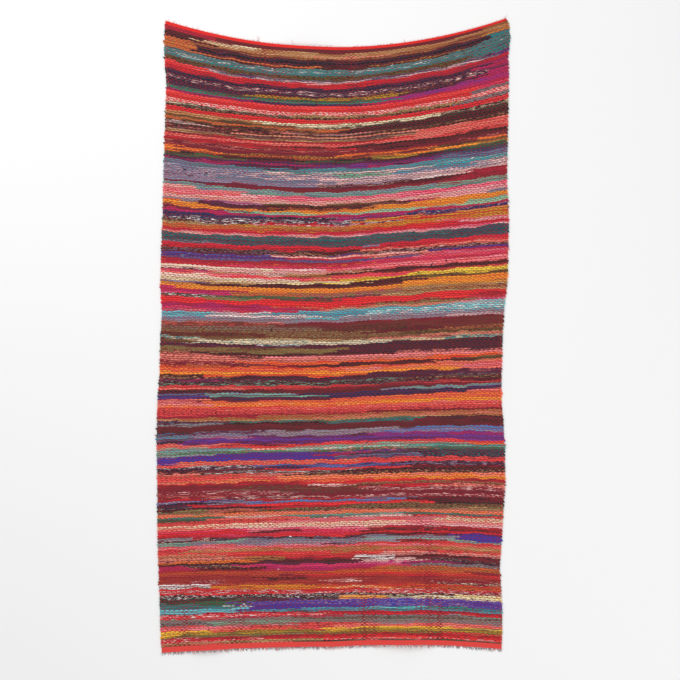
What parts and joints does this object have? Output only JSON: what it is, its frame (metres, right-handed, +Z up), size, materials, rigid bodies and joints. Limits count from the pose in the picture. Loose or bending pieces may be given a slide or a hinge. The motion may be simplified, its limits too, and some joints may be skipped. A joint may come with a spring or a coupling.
{
  "type": "rag rug",
  "caption": "Flat handwoven rag rug of striped fabric strips, with one sagging end, yarn headings and short frayed warp ends.",
  "frame": {"origin": "on the resting surface, under the middle of the rug's box, cut warp ends included", "axes": "+Y along the rug towards the sagging end, +X across its width to the right seen from above with that end away, +Z up"},
  "size_m": [0.8995, 1.6372, 0.0147],
  "materials": {
    "rag_weave": "hit-and-miss stripes of mixed cotton and silky rags, mostly red, coral, orange, teal, navy and black, matt with a slight fuzz",
    "heading_yarn": "coral red cotton yarn, matt",
    "warp_ends": "frayed cotton yarn ends, coral red with grey and teal rag fibres"
  },
  "bodies": {
    "root": {"rag_body": "rag_weave", "heading_top": "heading_yarn", "heading_foot": "heading_yarn", "fringe_top": "warp_ends", "fringe_foot": "warp_ends"}
  },
  "joints": []
}
